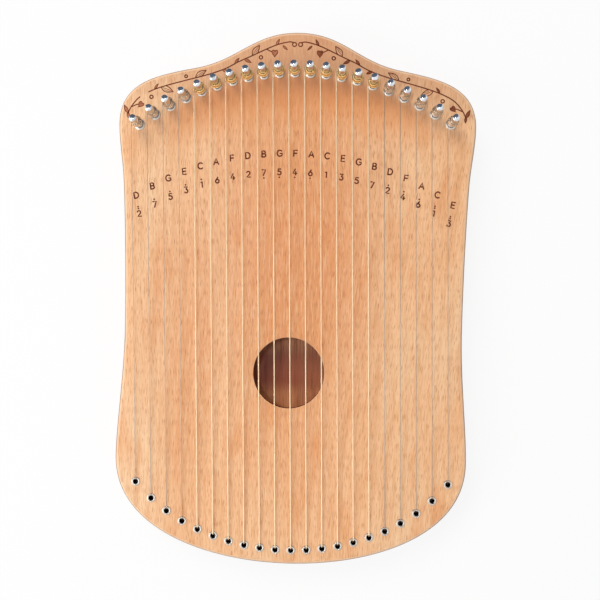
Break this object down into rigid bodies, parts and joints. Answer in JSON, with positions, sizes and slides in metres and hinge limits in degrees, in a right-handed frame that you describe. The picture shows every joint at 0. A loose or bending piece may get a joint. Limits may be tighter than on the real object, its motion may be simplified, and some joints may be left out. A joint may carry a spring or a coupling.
{
  "type": "lap harp",
  "caption": "Small lap harp: a shallow bowed wooden box with a round sound hole, strings over its face and a row of turning tuning pins at its head.",
  "frame": {"origin": "centre of the back face, on the surface that the harp lies on", "axes": "+Z out of the soundboard, +Y towards the tuning pins, +X to the right seen from the front"},
  "size_m": [0.2492, 0.3716, 0.0528],
  "materials": {
    "beech_face": "flat-sawn beech, satin varnish",
    "beech_edge": "beech, satin varnish",
    "red_wood": "reddish-brown sapele, open-pored satin",
    "pin_steel": "polished nickel plate",
    "plain_wire": "bright drawn wire",
    "wound_wire": "bronze winding, finely ridged"
  },
  "bodies": {
    "body": {"soundboard": "beech_face", "back_board": "red_wood", "pin_block": "beech_edge", "tail_block": "beech_edge", "side_left": "beech_edge", "side_right": "beech_edge", "brace_upper": "beech_edge", "brace_lower": "beech_edge", "string_01": "plain_wire", "string_02": "plain_wire", "string_03": "plain_wire", "string_04": "plain_wire", "string_05": "wound_wire", "string_06": "wound_wire", "string_07": "wound_wire", "string_08": "wound_wire", "string_09": "wound_wire", "string_10": "wound_wire", "string_11": "wound_wire", "string_12": "wound_wire", "string_13": "wound_wire", "string_14": "wound_wire", "string_15": "wound_wire", "string_16": "wound_wire", "string_17": "plain_wire", "string_18": "plain_wire", "string_19": "plain_wire", "string_20": "plain_wire", "string_21": "plain_wire"},
    "pin_01": {"tuning_pin_01": "pin_steel"},
    "pin_02": {"tuning_pin_02": "pin_steel"},
    "pin_03": {"tuning_pin_03": "pin_steel"},
    "pin_04": {"tuning_pin_04": "pin_steel"},
    "pin_05": {"tuning_pin_05": "pin_steel"},
    "pin_06": {"tuning_pin_06": "pin_steel"},
    "pin_07": {"tuning_pin_07": "pin_steel"},
    "pin_08": {"tuning_pin_08": "pin_steel"},
    "pin_09": {"tuning_pin_09": "pin_steel"},
    "pin_10": {"tuning_pin_10": "pin_steel"},
    "pin_11": {"tuning_pin_11": "pin_steel"},
    "pin_12": {"tuning_pin_12": "pin_steel"},
    "pin_13": {"tuning_pin_13": "pin_steel"},
    "pin_14": {"tuning_pin_14": "pin_steel"},
    "pin_15": {"tuning_pin_15": "pin_steel"},
    "pin_16": {"tuning_pin_16": "pin_steel"},
    "pin_17": {"tuning_pin_17": "pin_steel"},
    "pin_18": {"tuning_pin_18": "pin_steel"},
    "pin_19": {"tuning_pin_19": "pin_steel"},
    "pin_20": {"tuning_pin_20": "pin_steel"},
    "pin_21": {"tuning_pin_21": "pin_steel"}
  },
  "joints": [
    {"name": "pin_01_turn", "type": "hinge", "parent": "body", "child": "pin_01", "pos_m": [-0.1098, 0.1198, 0.03], "axis": [0, 0, -1], "range_deg": [-90, 30], "deforming": ["string_01"]},
    {"name": "pin_02_turn", "type": "hinge", "parent": "body", "child": "pin_02", "pos_m": [-0.09909, 0.12685, 0.03], "axis": [0, 0, -1], "range_deg": [-90, 30], "deforming": ["string_02"]},
    {"name": "pin_03_turn", "type": "hinge", "parent": "body", "child": "pin_03", "pos_m": [-0.08836, 0.13318, 0.03], "axis": [0, 0, -1], "range_deg": [-90, 30], "deforming": ["string_03"]},
    {"name": "pin_04_turn", "type": "hinge", "parent": "body", "child": "pin_04", "pos_m": [-0.07762, 0.13879, 0.03], "axis": [0, 0, -1], "range_deg": [-90, 30], "deforming": ["string_04"]},
    {"name": "pin_05_turn", "type": "hinge", "parent": "body", "child": "pin_05", "pos_m": [-0.06687, 0.14368, 0.03], "axis": [0, 0, -1], "range_deg": [-90, 30], "deforming": ["string_05"]},
    {"name": "pin_06_turn", "type": "hinge", "parent": "body", "child": "pin_06", "pos_m": [-0.05611, 0.14784, 0.03], "axis": [0, 0, -1], "range_deg": [-90, 30], "deforming": ["string_06"]},
    {"name": "pin_07_turn", "type": "hinge", "parent": "body", "child": "pin_07", "pos_m": [-0.04533, 0.15128, 0.03], "axis": [0, 0, -1], "range_deg": [-90, 30], "deforming": ["string_07"]},
    {"name": "pin_08_turn", "type": "hinge", "parent": "body", "child": "pin_08", "pos_m": [-0.03455, 0.15399, 0.03], "axis": [0, 0, -1], "range_deg": [-90, 30], "deforming": ["string_08"]},
    {"name": "pin_09_turn", "type": "hinge", "parent": "body", "child": "pin_09", "pos_m": [-0.02375, 0.15598, 0.03], "axis": [0, 0, -1], "range_deg": [-90, 30], "deforming": ["string_09"]},
    {"name": "pin_10_turn", "type": "hinge", "parent": "body", "child": "pin_10", "pos_m": [-0.01294, 0.15724, 0.03], "axis": [0, 0, -1], "range_deg": [-90, 30], "deforming": ["string_10"]},
    {"name": "pin_11_turn", "type": "hinge", "parent": "body", "child": "pin_11", "pos_m": [-0.00212, 0.15779, 0.03], "axis": [0, 0, -1], "range_deg": [-90, 30], "deforming": ["string_11"]},
    {"name": "pin_12_turn", "type": "hinge", "parent": "body", "child": "pin_12", "pos_m": [0.00872, 0.1576, 0.03], "axis": [0, 0, -1], "range_deg": [-90, 30], "deforming": ["string_12"]},
    {"name": "pin_13_turn", "type": "hinge", "parent": "body", "child": "pin_13", "pos_m": [0.01956, 0.1567, 0.03], "axis": [0, 0, -1], "range_deg": [-90, 30], "deforming": ["string_13"]},
    {"name": "pin_14_turn", "type": "hinge", "parent": "body", "child": "pin_14", "pos_m": [0.03042, 0.15507, 0.03], "axis": [0, 0, -1], "range_deg": [-90, 30], "deforming": ["string_14"]},
    {"name": "pin_15_turn", "type": "hinge", "parent": "body", "child": "pin_15", "pos_m": [0.04129, 0.15271, 0.03], "axis": [0, 0, -1], "range_deg": [-90, 30], "deforming": ["string_15"]},
    {"name": "pin_16_turn", "type": "hinge", "parent": "body", "child": "pin_16", "pos_m": [0.05218, 0.14964, 0.03], "axis": [0, 0, -1], "range_deg": [-90, 30], "deforming": ["string_16"]},
    {"name": "pin_17_turn", "type": "hinge", "parent": "body", "child": "pin_17", "pos_m": [0.06307, 0.14583, 0.03], "axis": [0, 0, -1], "range_deg": [-90, 30], "deforming": ["string_17"]},
    {"name": "pin_18_turn", "type": "hinge", "parent": "body", "child": "pin_18", "pos_m": [0.07398, 0.14131, 0.03], "axis": [0, 0, -1], "range_deg": [-90, 30], "deforming": ["string_18"]},
    {"name": "pin_19_turn", "type": "hinge", "parent": "body", "child": "pin_19", "pos_m": [0.0849, 0.13606, 0.03], "axis": [0, 0, -1], "range_deg": [-90, 30], "deforming": ["string_19"]},
    {"name": "pin_20_turn", "type": "hinge", "parent": "body", "child": "pin_20", "pos_m": [0.09583, 0.13009, 0.03], "axis": [0, 0, -1], "range_deg": [-90, 30], "deforming": ["string_20"]},
    {"name": "pin_21_turn", "type": "hinge", "parent": "body", "child": "pin_21", "pos_m": [0.10677, 0.12339, 0.03], "axis": [0, 0, -1], "range_deg": [-90, 30], "deforming": ["string_21"]}
  ]
}
